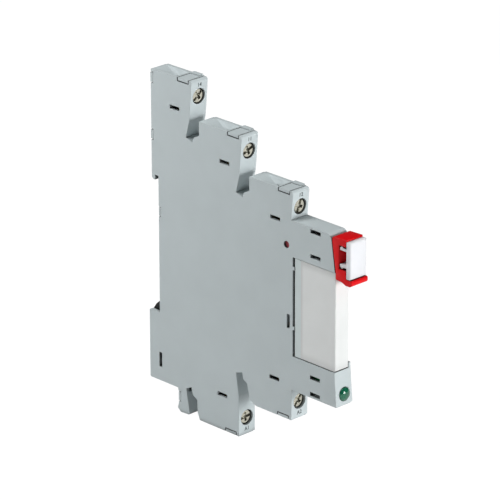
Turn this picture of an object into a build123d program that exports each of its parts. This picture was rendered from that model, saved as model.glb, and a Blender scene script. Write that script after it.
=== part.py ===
from build123d import *
import math
import os

# Interface relay: a slim screw terminal socket for a 35 mm rail, with a plug-in relay and a lever.
# Millimetres. X is depth: 0 is where the rail's face bears and + is to the front.
# Y is width: 0 is mid width and the near side is -Y. Z is height: 0 is the rail's centre line.

# Housing, the near shell and the far cover
WIDTH = 6.2
WALL = 0.8
COVER = 0.75
NEAR = -WIDTH / 2
FAR = WIDTH / 2
JOINT = FAR - COVER
INSIDE = NEAR + WALL
SEAM = 0.1
SNAP_GAP = 0.3
SNAP_REACH = NEAR + 0.05
SLOT_HALF = 0.55

# Terminal towers: three step down to the front, two hang below
TOP = 48.0
TOP_STEP = 10.5
TOWER_BACK = -2.6
FRONT = 13.0
PITCH = 19.2
TOWER_GAP = 3.1
CROWN_R = 0.7
BOTTOM = -49.6
BOTTOM_STEP = 11.2
LOWER_FRONT = 31.0
LOWER_PITCH = 20.1
LOWER_BACK = 15.7

# Rail recess and lower flange
RAIL = 35.0
HOOK_TOP = RAIL / 2 + 0.3
HOOK_LIP = 1.3
HOOK_HIGH = 1.4
FLANGE_BACK = -4.1
FLANGE_TOP = -22.2
FLANGE_BOTTOM = -42.5

# Screw clamp, measured back from the tower's front and in from its end
SCREW_DOWN = 4.8
HEAD_R = -INSIDE - 0.25
HEAD_DEEP = 0.6
HEAD_LONG = 1.6
SHANK_R = 1.25
SHANK_END = 6.45
SCREW_CLEAR = 0.2
CAGE_FRONT = 5.2
CAGE_BACK = 10.7
CAGE_HALF = -INSIDE - 0.25
CAGE_UP = 2.3
CAGE_DOWN = 7.3
CAGE_NUT = 1.0
CAGE_WALL = 0.5
THREAD_CLEAR = 0.05
BAR_FRONT = 6.5
BAR_THICK = 0.8
BAR_HALF = CAGE_HALF - CAGE_WALL - 0.2
STRIP_WIDE = 2.0
STRIP_NEAR = -0.65
STRIP_FAR = -0.05
WIRE_DEEP = 8.6
WIRE_R = 1.3
MOUTH_FRONT = 6.0
MOUTH_LONG = 8.6
THROAT = 1.5
MOUTH_NEAR = INSIDE + 0.1
MOUTH_FAR = JOINT - 0.35

# Plug-in relay, 5 wide between the cover and the near side, measured from its back and its bottom
RELAY_HIGH = 28.0
RELAY_DEEP = 15.0
RELAY_INSET = 0.25
RELAY_GAP = 0.2
RELAY_WIDE = JOINT - RELAY_GAP - NEAR - RELAY_INSET
RELAY_X = 52.25
RELAY_Z = -19.5
RELAY_Y = NEAR + RELAY_INSET + RELAY_WIDE / 2
CASE_WALL = 0.45
CASE_HALF = RELAY_WIDE / 2 - CASE_WALL
IRON_HALF = CASE_HALF - 0.45
CONTACT_HALF = CASE_HALF - 0.85
NOTCH_HALF = CASE_HALF - 0.15
NOTCH_DEEP = 1.0
BASE_DEEP = 2.2
STEP_DEEP = 3.0
PIN_HALF_Y = 0.6
PIN_HALF_Z = 0.25
PIN_LONG = 4.0
COIL_PITCH = 3.8
CONTACT_PITCH = 5.04
COIL_PINS = (3.0, 3.0 + COIL_PITCH)
COMMON_PIN = 19.64
OPEN_PIN = COMMON_PIN - CONTACT_PITCH
CLOSED_PIN = COMMON_PIN + CONTACT_PITCH
PIVOT = (RELAY_DEEP - 1.9, 15.8)
COIL_X = PIVOT[0] - 3.6
CONTACT_X = COIL_X + 0.8
CARD_X = COIL_X - 2.2
COIL_BOTTOM = 2.05
COIL_TOP = 14.5
FLANGE_THICK = 0.6
TUBE_R = NOTCH_HALF - 0.45
CORE_R = TUBE_R - 0.45

# Bay opening round the relay, and the section in front of it with the lamp
RELAY_FRONT = RELAY_X + RELAY_DEEP
SECTION_TOP = 19.0
SECTION_FRONT = RELAY_FRONT - 1.35
LAMP_FRONT = RELAY_FRONT + 0.75
LAMP_BOTTOM = -29.5
CORNER = 1.8
SLIT = 0.6
BAY_BACK = RELAY_X - SLIT
BAY_FRONT = RELAY_FRONT - 0.05
BAY_TOP = RELAY_Z + RELAY_HIGH + RELAY_GAP
BAY_BOTTOM = RELAY_Z - RELAY_GAP

# Lever and tag
LEVER = (RELAY_FRONT - 3.65, 16.7)
HUB_R = 1.25
AXLE_R = 0.6
AXLE_CLEAR = 0.05
LEVER_HALF = WIDTH / 2 - 0.05
TOE_TIP = BAY_TOP - NOTCH_DEEP
TOE_THICK = 1.2
TOE_CLEAR = 0.2
TAG_BACK = RELAY_FRONT + 4.0
TAG_FRONT = TAG_BACK + 1.55
TAG_BOTTOM = 8.1
TAG_TOP = 18.4
LIP_THICK = 1.7
PRONG_BACK = TAG_BACK - 2.45
PRONG_NEAR = 0.15 - LEVER_HALF
PRONG_FAR = LEVER_HALF - 1.25

# Rail clip and its spring
CLIP_NEAR = INSIDE + 0.4
CLIP_FAR = JOINT - 0.2
SPRING_X = -1.7
SPRING_R = 0.8
SPRING_WIRE = 0.35
SPRING_BOTTOM = -35.45
SPRING_TOP = -27.55
SPRING_TURNS = 7

# Round plug in the side
PLUG = (49.3, 11.7)
PLUG_R = 1.0

# Lamp and its board
LAMP_Y = 0.2
LAMP_Z = -26.5
LENS_R = JOINT - LAMP_Y - 0.2
LED_R = 1.45
BOARD = (26.2, LAMP_FRONT - 6.6, -27.9, -21.2)
LED_BACK = LAMP_FRONT - 6.0
LENS_BACK = LAMP_FRONT - 2.2
BOARD_NEAR = INSIDE + 0.4
BOARD_THICK = 0.8


# Helpers

def block(x0, x1, y0, y1, z0, z1):
    """A box between two corners."""
    low = (min(x0, x1), min(y0, y1), min(z0, z1))
    size = (abs(x1 - x0), abs(y1 - y0), abs(z1 - z0))
    return Pos(*low) * Box(*size, align=(Align.MIN, Align.MIN, Align.MIN))


def prism(outline, y0, y1):
    """A closed outline of (x, z) points, run across the width."""
    edge = Polyline(*[(x, y0, z) for x, z in outline], close=True)
    return extrude(make_face(edge), amount=y1 - y0, dir=(0, 1, 0))


def rod(radius, start, axis, length):
    """A cylinder from a start point along an axis."""
    return extrude(Plane(origin=start, z_dir=axis) * Circle(radius), amount=length)


def cross_rod(radius, x, z, y0, y1):
    """A cylinder across the width."""
    return rod(radius, (x, y0, z), (0, 1, 0), y1 - y0)


def fuse(pieces):
    """All the pieces as one solid."""
    body = pieces[0]
    for piece in pieces[1:]:
        body += piece
    return body


def shrink(outline, inward):
    """The same outline with every side moved inward. The points go round clockwise."""
    lines = []
    for (x0, z0), (x1, z1) in zip(outline, outline[1:] + outline[:1]):
        long = math.hypot(x1 - x0, z1 - z0)
        across = ((z1 - z0) / long, -(x1 - x0) / long)
        lines.append((across, across[0] * x0 + across[1] * z0 + inward))
    points = []
    for (a, c), (b, d) in zip(lines[-1:] + lines[:-1], lines):
        turn = a[0] * b[1] - a[1] * b[0]
        points.append(((c * b[1] - d * a[1]) / turn, (a[0] * d - b[0] * c) / turn))
    return points


def round_across(body, corners):
    """Rounds edges that run across the width, each given as (x, z, radius)."""
    for x, z, radius in corners:
        edges = body.edges().filter_by(Axis.Y)
        nearest = min(edges, key=lambda edge: math.hypot(edge.center().X - x, edge.center().Z - z))
        body = fillet(nearest, radius)
    return body


# Terminals: name, front of the tower, its end, and 1 for a tower that points up

TERMINALS = (
    ("14", FRONT, TOP, 1),
    ("11", FRONT + PITCH, TOP - TOP_STEP, 1),
    ("12", FRONT + 2 * PITCH, TOP - 2 * TOP_STEP, 1),
    ("a1", LOWER_FRONT, BOTTOM, -1),
    ("a2", LOWER_FRONT + LOWER_PITCH, BOTTOM + BOTTOM_STEP, -1),
)


# Outline of the housing

def top_gap(front, top):
    """A tower's leaning front and the open gap down to the next tower's back."""
    return [
        (front + 0.3, top), (front - 0.7, top - 11.2), (front - 2.0, top - 16.3),
        (front + 0.5, top - 17.1), (front + 1.1, top - 15.5), (front + TOWER_GAP, top - 14.7),
    ]


def lower_edge():
    """The underside, from the lamp section back to the foot beside the flange."""
    front = LOWER_FRONT
    back = LOWER_BACK
    step = BOTTOM + BOTTOM_STEP
    return [
        (LAMP_FRONT, LAMP_BOTTOM), (front + LOWER_PITCH + 0.2, LAMP_BOTTOM), (front + LOWER_PITCH, step),
        (front + 6.9, step), (front + 4.4, step + 1.0), (front + 3.2, step + 5.5), (front + 1.8, step + 6.4),
        (front + 1.4, step + 8.2), (front - 1.0, step + 7.4), (front, step + 0.6), (front, BOTTOM),
        (back, BOTTOM), (back - 0.9, BOTTOM + 2.1), (back - 1.0, BOTTOM + 5.7), (back - 2.8, BOTTOM + 6.8),
        (back - 3.3, BOTTOM + 8.8), (back - 5.4, BOTTOM + 7.8), (back - 4.0, BOTTOM + 0.3),
        (back - 7.6, BOTTOM + 0.1), (back - 8.8, BOTTOM + 1.1), (back - 8.4, BOTTOM + 2.7),
        (back - 8.4, BOTTOM + 5.9), (back - 8.7, FLANGE_BOTTOM), (FLANGE_BACK, FLANGE_BOTTOM),
    ]


def outline(hook, bay):
    """The whole side outline. The hook and the bay's front edge differ between the parts."""
    points = [(FLANGE_BACK, FLANGE_TOP), (0, FLANGE_TOP), (0, HOOK_TOP)] + hook
    points.append((TOWER_BACK, TOP))
    points += top_gap(FRONT, TOP)
    points.append((FRONT + TOWER_GAP, TOP - TOP_STEP))
    points += top_gap(FRONT + PITCH, TOP - TOP_STEP)
    points.append((FRONT + PITCH + TOWER_GAP, TOP - 2 * TOP_STEP))
    points += [(FRONT + 2 * PITCH + 0.3, TOP - 2 * TOP_STEP), (FRONT + 2 * PITCH - 0.4, SECTION_TOP)]
    points += [(SECTION_FRONT - 0.2, SECTION_TOP), (SECTION_FRONT, SECTION_TOP - CORNER)]
    points += bay + lower_edge()
    return points


HOOK = [(-HOOK_LIP, HOOK_TOP), (-HOOK_LIP, HOOK_TOP - HOOK_HIGH), (TOWER_BACK, HOOK_TOP - HOOK_HIGH)]
PLAIN_BACK = [(TOWER_BACK, HOOK_TOP)]
FULL_BAY = [(BAY_FRONT, BAY_TOP), (BAY_FRONT, BAY_BOTTOM)]
OPEN_BAY = [
    (BAY_FRONT, BAY_TOP), (SECTION_FRONT, BAY_TOP), (SECTION_FRONT, BAY_BOTTOM + 1.5),
    (BAY_FRONT, BAY_BOTTOM + 1.5), (BAY_FRONT, BAY_BOTTOM),
]
OUTER_ROUNDS = [
    (TOWER_BACK, HOOK_TOP - HOOK_HIGH, 0.9), (SECTION_FRONT - 0.2, SECTION_TOP, CORNER - 0.1),
    (LOWER_BACK - 7.6, BOTTOM + 0.1, 0.8), (LOWER_BACK - 4.0, BOTTOM + 0.3, 0.5),
    (FLANGE_BACK, FLANGE_BOTTOM, 0.4),
    (FLANGE_BACK, FLANGE_TOP, 0.4), (TOWER_BACK, TOP, 0.3), (FRONT + 0.3, TOP, CROWN_R),
    (FRONT + PITCH + 0.3, TOP - TOP_STEP, CROWN_R), (FRONT + 2 * PITCH + 0.3, TOP - 2 * TOP_STEP, CROWN_R),
]
EDGE_TABS = [
    (TOWER_BACK - 0.2, -1.9, TOP - 3.8, TOP - 1.1), (TOWER_BACK - 0.2, -1.9, 28.0, 30.6),
    (0, WALL - 0.1, 6.3, 8.7), (7.2, 8.0, -46.2, -43.7),
]


# Cuts and tabs that every terminal repeats

def level(end, up, inward):
    """Height of a point that lies inward from a tower's end."""
    return end - up * inward


def wire_funnel(front, end, up):
    """The square mouth that leads a wire down to its round hole."""
    throat = level(end, up, THROAT)
    middle = front - MOUTH_FRONT - MOUTH_LONG / 2
    mouth_centre = (middle, (MOUTH_NEAR + MOUTH_FAR) / 2, level(end, up, -0.01))
    mouth_face = Plane(origin=mouth_centre) * Rectangle(MOUTH_LONG, MOUTH_FAR - MOUTH_NEAR)
    throat_face = Plane(origin=(front - WIRE_DEEP, 0, throat)) * Circle(WIRE_R + 0.05)
    return loft([mouth_face, throat_face])


def terminal_cuts(front, end, up):
    """Everything that a terminal takes out of the shell."""
    z = level(end, up, SCREW_DOWN)
    slot = level(end, up, 9.0 if up > 0 else 10.4)
    head_room = HEAD_R + SCREW_CLEAR
    return [
        rod(head_room, (front + 1.0, 0, z), (-1, 0, 0), HEAD_DEEP + HEAD_LONG + 0.1 + 1.0),
        rod(SHANK_R + 0.1, (front, 0, z), (-1, 0, 0), 3.0),
        rod(WIRE_R, (front - WIRE_DEEP, 0, end), (0, 0, -up), 2.2),
        wire_funnel(front, end, up),
        block(front - 8.2, front - 4.5, NEAR - 1, INSIDE + 0.1, slot - SLOT_HALF, slot + SLOT_HALF),
        block(
            front - 5.0 - SNAP_GAP, front - 1.1 + SNAP_GAP, NEAR - 1, JOINT,
            level(end, up, -1), level(end, up, 0.8 + SNAP_GAP),
        ),
    ]


def terminal_solid(front, end, up):
    """The front block that holds the screw, and the thick end cap."""
    return [
        block(front - 2.8, front + 2, INSIDE, JOINT, end, level(end, up, 8.0)),
        block(front - 18, front + 2, INSIDE, JOINT, end, level(end, up, 2.1)),
    ]


def terminal_tab(front, end, up):
    """The cover's snap tab over a tower's end, with a raised hump on the upper towers."""
    tab = block(front - 5.0, front - 1.1, SNAP_REACH, JOINT, end, level(end, up, 0.8))
    if up > 0:
        tab += block(front - 5.0, front - 1.6, JOINT - 0.85, FAR, end - 0.2, end + 0.35)
        tab += block(front - 5.0, front - 1.1, JOINT, FAR, end, end - 0.8)
    return tab


# Housing shell

def bay_walls():
    """Walls round the relay bay, with the slots that its pins plug through."""
    back = block(BAY_BACK - 0.4, BAY_BACK, INSIDE, JOINT, BAY_BOTTOM - WALL, BAY_TOP + WALL)
    for pin in COIL_PINS + (OPEN_PIN, COMMON_PIN, CLOSED_PIN):
        z = RELAY_Z + pin
        back -= block(BAY_BACK - 1, BAY_BACK + 1, RELAY_Y - 0.8, RELAY_Y + 0.8, z - 0.45, z + 0.45)
    ceiling = block(BAY_BACK, LEVER[0] - 1.8, INSIDE, JOINT, BAY_TOP, BAY_TOP + WALL)
    floor = block(BAY_BACK, BAY_FRONT + 2, INSIDE, JOINT, BAY_BOTTOM - WALL, BAY_BOTTOM)
    return [back, ceiling, floor]


def clip_guides():
    """The rib beside the clip's leg and the ledge that its spring stands on."""
    rib = block(0, WALL, INSIDE, JOINT, FLANGE_TOP, -36.3)
    ledge = block(-3.2, WALL, -0.9, 0.9, -36.3, -35.5)
    return [rib, ledge]


def strip_posts():
    """Posts from the near wall that carry the busbars."""
    places = [(6.1, 20.0), (6.1, 2.0), (25.3, 12.0), (44.5, 12.0), (15.0, -4.9), (35.0, -4.9)]
    places += [(35.0, 0.14), (24.1, -35.0), (24.1, -18.0), (36.0, -12.7)]
    return [block(x - 0.7, x + 0.7, INSIDE, STRIP_NEAR, z - 0.7, z + 0.7) for x, z in places]


def board_pads():
    """Low pads under the lamp's board."""
    places = [(28.0, -22.2), (28.0, -26.9), (46.0, -22.2), (46.0, -26.9), (56.5, -22.2), (56.5, -26.9)]
    return [block(x - 0.9, x + 0.9, INSIDE, BOARD_NEAR, z - 0.7, z + 0.7) for x, z in places]


def side_slots():
    """The narrow dark slots in the near side."""
    cuts = []
    for z in (17.95, 10.95, -23.6, -28.4):
        x = SECTION_FRONT - 7.7
        cuts.append(block(x, x + 3.7, NEAR - 1, INSIDE + 0.1, z - SLOT_HALF, z + SLOT_HALF))
    for x, low, high in ((0.15, -38.4, -34.1), (50.0, -12.0, -8.0)):
        cuts.append(block(x - SLOT_HALF, x + SLOT_HALF, NEAR - 1, INSIDE + 0.1, low, high))
    return cuts


def clip_openings():
    """Where the rail clip comes out of the flange and its arm reaches the lower gap."""
    low_back = LOWER_BACK - 6.1
    return [
        block(-3.9, -0.15, INSIDE + 0.2, JOINT, FLANGE_TOP - 1.2, FLANGE_TOP + 1),
        block(FLANGE_BACK - 1, -3.2, INSIDE + 0.2, JOINT, FLANGE_TOP - 3.8, FLANGE_TOP + 1),
        block(low_back, LOWER_BACK - 2.5, INSIDE + 0.2, JOINT, BOTTOM + 6.6, BOTTOM + 10.5),
        block(low_back - 0.8, low_back + 0.1, INSIDE + 0.2, JOINT, BOTTOM + 7.6, BOTTOM + 10.5),
    ]


def edge_notches():
    """Notches for the cover's tabs along the back and at the foot."""
    return [
        block(x0 - 0.7, x1 + 0.1, NEAR - 1, JOINT, z0 - SNAP_GAP, z1 + SNAP_GAP)
        for x0, x1, z0, z1 in EDGE_TABS
    ]


def make_shell():
    side = prism(outline(HOOK, FULL_BAY), NEAR, JOINT)
    side = round_across(side, OUTER_ROUNDS)
    room = prism(shrink(outline(PLAIN_BACK, FULL_BAY), WALL), INSIDE, JOINT)
    kept = bay_walls() + clip_guides() + strip_posts() + board_pads()
    for name, front, end, up in TERMINALS:
        kept += terminal_solid(front, end, up)
    room = room - kept
    cuts = side_slots() + clip_openings() + edge_notches()
    for name, front, end, up in TERMINALS:
        cuts += terminal_cuts(front, end, up)
    cuts.append(block(BAY_BACK, BAY_FRONT + 2, NEAR - 1, JOINT, BAY_BOTTOM, BAY_TOP))
    cuts.append(block(LEVER[0] - 1.8, BAY_FRONT + 2, INSIDE, JOINT, BAY_TOP - 0.1, LEVER[1] + 0.2))
    cuts.append(cross_rod(AXLE_R + AXLE_CLEAR, LEVER[0], LEVER[1], NEAR + 0.35, 0))
    cuts.append(cross_rod(PLUG_R, *PLUG, NEAR - 1, 0))
    cuts.append(rod(LENS_R + 0.05, (LAMP_FRONT - 8, LAMP_Y, LAMP_Z), (1, 0, 0), 10))
    side = side - room - cuts
    for z in (5.6, -11.5):
        side += block(BAY_BACK - 0.05, BAY_BACK + SLIT, NEAR, NEAR + 0.2, z - 0.5, z + 0.5)
    return side


# Housing cover

def make_cover():
    plate = round_across(prism(shrink(outline(HOOK, OPEN_BAY), SEAM), JOINT, FAR), OUTER_ROUNDS)
    tabs = [terminal_tab(front, end, up) for name, front, end, up in TERMINALS]
    tabs += [block(x0, x1, SNAP_REACH, JOINT + 0.1, z0, z1) for x0, x1, z0, z1 in EDGE_TABS]
    plate = plate + tabs
    return plate - cross_rod(AXLE_R + AXLE_CLEAR, LEVER[0], LEVER[1], JOINT - 0.1, FAR - 0.35)


# Screw clamp pieces

def make_screw(front, end, up):
    z = level(end, up, SCREW_DOWN)
    face = front - HEAD_DEEP
    head = rod(HEAD_R, (face, 0, z), (-1, 0, 0), HEAD_LONG)
    rim = head.edges().filter_by(GeomType.CIRCLE).sort_by(Axis.X)[-1]
    head = fillet(rim, 0.35)
    head += rod(SHANK_R, (face - HEAD_LONG + 0.1, 0, z), (-1, 0, 0), SHANK_END - HEAD_DEEP - HEAD_LONG + 0.1)
    head -= block(face - 1.0, face + 1, -0.4, 0.4, z - 3, z + 3)
    return head - block(face - 1.0, face + 1, -1.3, 1.3, z - 0.4, z + 0.4)


def make_cage(front, end, up):
    z = level(end, up, SCREW_DOWN)
    high = level(end, up, CAGE_UP)
    low = level(end, up, CAGE_DOWN)
    cage = block(front - CAGE_BACK, front - CAGE_FRONT, -CAGE_HALF, CAGE_HALF, high, low)
    window = CAGE_HALF - CAGE_WALL
    inner = front - CAGE_BACK + 0.8
    cage -= block(inner, front - CAGE_FRONT - CAGE_NUT, -window, window, high + up, low - up)
    return cage - rod(SHANK_R + THREAD_CLEAR, (front, 0, z), (-1, 0, 0), CAGE_FRONT + CAGE_NUT + 0.2)


# Strip routes from each clamp to the height of its relay pin, as (x, z)
FORK_X = 47.3


def pin_height(pin):
    return RELAY_Z + pin


ROUTES = {
    "14": pin_height(OPEN_PIN), "11": pin_height(COMMON_PIN), "12": pin_height(CLOSED_PIN),
    "a1": pin_height(COIL_PINS[1]), "a2": pin_height(COIL_PINS[0]),
}


def make_fork(z):
    """Two spring leaves that grip a pin above and below."""
    y0 = RELAY_Y - 0.8
    y1 = RELAY_Y + 0.8
    web = block(FORK_X - 0.05, FORK_X + 0.35, y0, y1, z - 0.65, z + 0.65)
    upper = block(FORK_X + 0.3, 51.2, y0, y1, z + 0.3, z + 0.65)
    lower = block(FORK_X + 0.3, 51.2, y0, y1, z - 0.3, z - 0.65)
    return [web, upper, lower]


def make_busbar(name, front, end, up):
    x = front - BAR_FRONT - BAR_THICK / 2
    start = level(end, up, 8.4)
    z = ROUTES[name]
    plate = block(
        front - BAR_FRONT - BAR_THICK, front - BAR_FRONT, -BAR_HALF, BAR_HALF, level(end, up, 2.15), start,
    )
    half = STRIP_WIDE / 2
    down = block(x - half, x + half, STRIP_NEAR, STRIP_FAR, start, z - up * half)
    across = block(x - half, FORK_X, STRIP_NEAR, STRIP_FAR, z - half, z + half)
    pieces = [plate, down, across] + make_fork(z)
    tab_x = {"a1": 25.5, "a2": x}.get(name)
    if tab_x:
        board_top = BOARD_NEAR + BOARD_THICK
        pieces.append(block(tab_x - 0.5, tab_x + 1.5, board_top, STRIP_NEAR + 0.1, -25.0, -24.0))
        pieces.append(block(tab_x - 0.5, tab_x + 1.5, STRIP_NEAR, STRIP_FAR, -25.0, -24.0))
    return fuse(pieces)


# Plug-in relay, built in its own back, middle and bottom, then set in the bay

def in_relay(shape):
    return Pos(RELAY_X, RELAY_Y, RELAY_Z) * shape


def make_relay_base():
    half = RELAY_WIDE / 2
    base = block(0, BASE_DEEP, -half, half, 0, RELAY_HIGH)
    base += block(BASE_DEEP - 0.1, STEP_DEEP, 0.1 - CASE_HALF, CASE_HALF - 0.1, 0.6, RELAY_HIGH - 0.6)
    for pin in COIL_PINS + (OPEN_PIN, COMMON_PIN, CLOSED_PIN):
        hole_y = PIN_HALF_Y + 0.03
        hole_z = PIN_HALF_Z + 0.03
        base -= block(-1, 4, -hole_y, hole_y, pin - hole_z, pin + hole_z)
    return in_relay(base)


def make_relay_case():
    half = RELAY_WIDE / 2
    case = block(BASE_DEEP, RELAY_DEEP, -half, half, 0, RELAY_HIGH)
    front_edges = case.edges().group_by(Axis.X)[-1]
    case = fillet(front_edges, 0.3)
    case -= block(BASE_DEEP - 1, RELAY_DEEP - CASE_WALL, -CASE_HALF, CASE_HALF, 0.5, RELAY_HIGH - 0.5)
    floor = RELAY_HIGH - NOTCH_DEEP
    toe_back = LEVER[0] - 1.1 - RELAY_X
    reach = CASE_HALF + 0.1
    case += block(toe_back - 0.75, toe_back + 1.95, -reach, reach, floor - 0.5, RELAY_HIGH - 0.4)
    notch = (toe_back - TOE_CLEAR, toe_back + TOE_THICK + TOE_CLEAR)
    return in_relay(case - block(*notch, -NOTCH_HALF, NOTCH_HALF, floor, RELAY_HIGH + 1))


def make_pin(height, end):
    return block(-PIN_LONG, end, -PIN_HALF_Y, PIN_HALF_Y, height - PIN_HALF_Z, height + PIN_HALF_Z)


def make_coil_pins():
    pins = [make_pin(height, 4.2) for height in COIL_PINS]
    posts = [block(3.6, 4.2, -0.5, 0.5, height, height + 0.9) for height in COIL_PINS]
    return in_relay(Compound([pins[0] + posts[0], pins[1] + posts[1]]))


def make_common_pin():
    return in_relay(make_pin(COMMON_PIN, STEP_DEEP))


def make_blade():
    z = COMMON_PIN
    blade = block(STEP_DEEP + 0.02, CONTACT_X + 0.6, -CONTACT_HALF, CONTACT_HALF, z - 0.125, z + 0.125)
    blade -= block(CARD_X - 0.7, CARD_X + 0.7, -0.65, 0.65, z - 1, z + 1)
    return in_relay(blade + rod(0.7, (CONTACT_X, 0, z - 0.45), (0, 0, 1), 0.9))


def make_open_contact():
    arm_z = COMMON_PIN - 1.71
    parts = [
        make_pin(OPEN_PIN, 3.2),
        block(3.02, 3.9, -CONTACT_HALF, CONTACT_HALF, OPEN_PIN - 0.25, OPEN_PIN + 0.25),
        block(3.55, 3.9, -CONTACT_HALF, CONTACT_HALF, OPEN_PIN - 0.25, arm_z + 0.175),
        block(3.55, CONTACT_X + 1.0, -CONTACT_HALF, CONTACT_HALF, arm_z - 0.175, arm_z + 0.175),
        rod(0.7, (CONTACT_X, 0, arm_z), (0, 0, 1), 0.53),
    ]
    return in_relay(fuse(parts) - block(CARD_X - 0.7, CARD_X + 0.7, -0.7, 0.7, arm_z - 1, arm_z + 1))


def make_closed_contact():
    arm_z = COMMON_PIN + 1.01
    parts = [
        make_pin(CLOSED_PIN, 3.2),
        block(3.02, 3.9, -CONTACT_HALF, CONTACT_HALF, CLOSED_PIN - 0.25, CLOSED_PIN + 0.25),
        block(3.55, 3.9, -CONTACT_HALF, CONTACT_HALF, arm_z - 0.175, CLOSED_PIN + 0.25),
        block(3.55, CONTACT_X + 1.0, -CONTACT_HALF, CONTACT_HALF, arm_z - 0.175, arm_z + 0.175),
        rod(0.7, (CONTACT_X, 0, arm_z), (0, 0, -1), 0.53),
    ]
    return in_relay(fuse(parts))


def make_bobbin():
    half = NOTCH_HALF
    body = rod(TUBE_R, (COIL_X, 0, COIL_BOTTOM), (0, 0, 1), COIL_TOP - COIL_BOTTOM)
    for z in (COIL_BOTTOM, COIL_TOP - FLANGE_THICK):
        body += block(COIL_X - 3.2, COIL_X + 3.2, -half, half, z, z + FLANGE_THICK)
    return in_relay(body - rod(CORE_R + 0.03, (COIL_X, 0, COIL_BOTTOM - 1), (0, 0, 1), 15))


def make_winding():
    half = NOTCH_HALF - 0.15
    bottom = COIL_BOTTOM + FLANGE_THICK + 0.03
    top = COIL_TOP - FLANGE_THICK - 0.03
    body = block(COIL_X - 2.8, COIL_X + 2.8, -half, half, bottom, top)
    body = fillet(body.edges().filter_by(Axis.Z), 1.2)
    return in_relay(body - rod(TUBE_R + 0.03, (COIL_X, 0, COIL_BOTTOM - 1), (0, 0, 1), 15))


def make_core():
    top = PIVOT[1] - 0.35
    return in_relay(rod(CORE_R, (COIL_X, 0, 2.0), (0, 0, 1), top - 2.0))


def make_yoke():
    x, z = PIVOT
    back = block(x, x + 0.8, -IRON_HALF, IRON_HALF, 1.2, z - 0.02)
    return in_relay(back + block(COIL_X - 1.5, x + 0.8, -IRON_HALF, IRON_HALF, 1.2, 2.0))


def make_armature():
    x, z = PIVOT
    plate = block(CARD_X - 1.1, x + 1.1, -IRON_HALF, IRON_HALF, z, z + 0.8)
    return in_relay(plate - block(CARD_X - 1.3, CARD_X + 0.55, -0.7, 0.7, z - 1, z + 2))


def make_card():
    back = CARD_X - 0.8
    front = CARD_X + 0.8
    foot = block(back, front, -1.1, 1.1, PIVOT[1] - 0.7, PIVOT[1] - 0.1)
    post = block(CARD_X - 0.35, CARD_X + 0.35, -0.5, 0.5, PIVOT[1] - 0.7, COMMON_PIN + 0.6)
    head = block(back, front, -1.1, 1.1, COMMON_PIN + 0.23, COMMON_PIN + 0.73)
    return in_relay(foot + post + head)


# Lamp, its board and what is on it

def make_board():
    x0, x1, z0, z1 = BOARD
    return block(x0, x1, BOARD_NEAR, BOARD_NEAR + BOARD_THICK, z0, z1)


def on_board(places, long, high, thick):
    """Chips of one size that stand on the board's face."""
    face = BOARD_NEAR + BOARD_THICK
    chips = [block(x, x + long, face, face + thick, z, z + high) for x, z in places]
    return Compound(chips)


def make_led():
    body = rod(LED_R, (LED_BACK, LAMP_Y, LAMP_Z), (1, 0, 0), 3.4)
    body = fillet(body.edges().filter_by(GeomType.CIRCLE).sort_by(Axis.X)[-1], 0.9)
    body += rod(LED_R + 0.25, (LED_BACK, LAMP_Y, LAMP_Z), (1, 0, 0), 0.6)
    face = BOARD_NEAR + BOARD_THICK
    for side in (-0.65, 0.65):
        z = LAMP_Z + side
        body += block(BOARD[1] - 1.0, LED_BACK + 0.1, LAMP_Y - 0.2, LAMP_Y + 0.2, z - 0.2, z + 0.2)
        body += block(BOARD[1] - 1.0, BOARD[1] - 0.6, face, LAMP_Y + 0.2, z - 0.2, z + 0.2)
    return body


def make_lens():
    body = rod(LENS_R, (LENS_BACK, LAMP_Y, LAMP_Z), (1, 0, 0), 3.0)
    body = fillet(body.edges().filter_by(GeomType.CIRCLE).sort_by(Axis.X)[-1], 1.2)
    return body - rod(LED_R - 0.2, (LENS_BACK, LAMP_Y, LAMP_Z), (1, 0, 0), 1.2)


# Ejector lever and marking tag

def make_lever():
    x, z = LEVER
    hub = cross_rod(HUB_R, x, z, INSIDE + 0.15, JOINT - 0.15)
    axle = cross_rod(AXLE_R, x, z, NEAR + 0.4, FAR - 0.4)
    toe_back = x - 1.1
    arm = prism([
        (toe_back, z), (x + 1.1, z), (x + 0.7, 12.0), (toe_back + TOE_THICK, TOE_TIP),
        (toe_back, TOE_TIP), (toe_back, 12.0),
    ], RELAY_Y - 1.25, RELAY_Y + 1.25)
    web = block(x - 0.5, BAY_FRONT + 0.6, -0.7, 0.7, 11.0, 15.2)
    back = BAY_FRONT + 0.25
    top_back = SECTION_FRONT + 0.25
    face = TAG_BACK - 0.05
    lip = TAG_BOTTOM - 0.2
    tip = TAG_FRONT + 0.4
    front = prism([
        (top_back, 18.7), (face, 18.9), (face, lip), (tip, lip), (tip, lip - LIP_THICK),
        (face - 0.2, lip - LIP_THICK), (face - 1.6, lip - 1.1), (back, lip - 1.0), (back, BAY_TOP),
        (top_back, SECTION_TOP - CORNER),
    ], -LEVER_HALF, LEVER_HALF)
    rounds = [(tip, lip, 0.5), (tip, lip - LIP_THICK, 0.8), (top_back, 18.7, 0.6), (back, lip - 1.0, 0.5)]
    front = round_across(front, rounds)
    front -= block(PRONG_BACK - 0.2, face + 1, -LEVER_HALF - 1, LEVER_HALF - 0.75, 10.2, 16.9)
    return fuse([hub, axle, arm, web, front])


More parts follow.
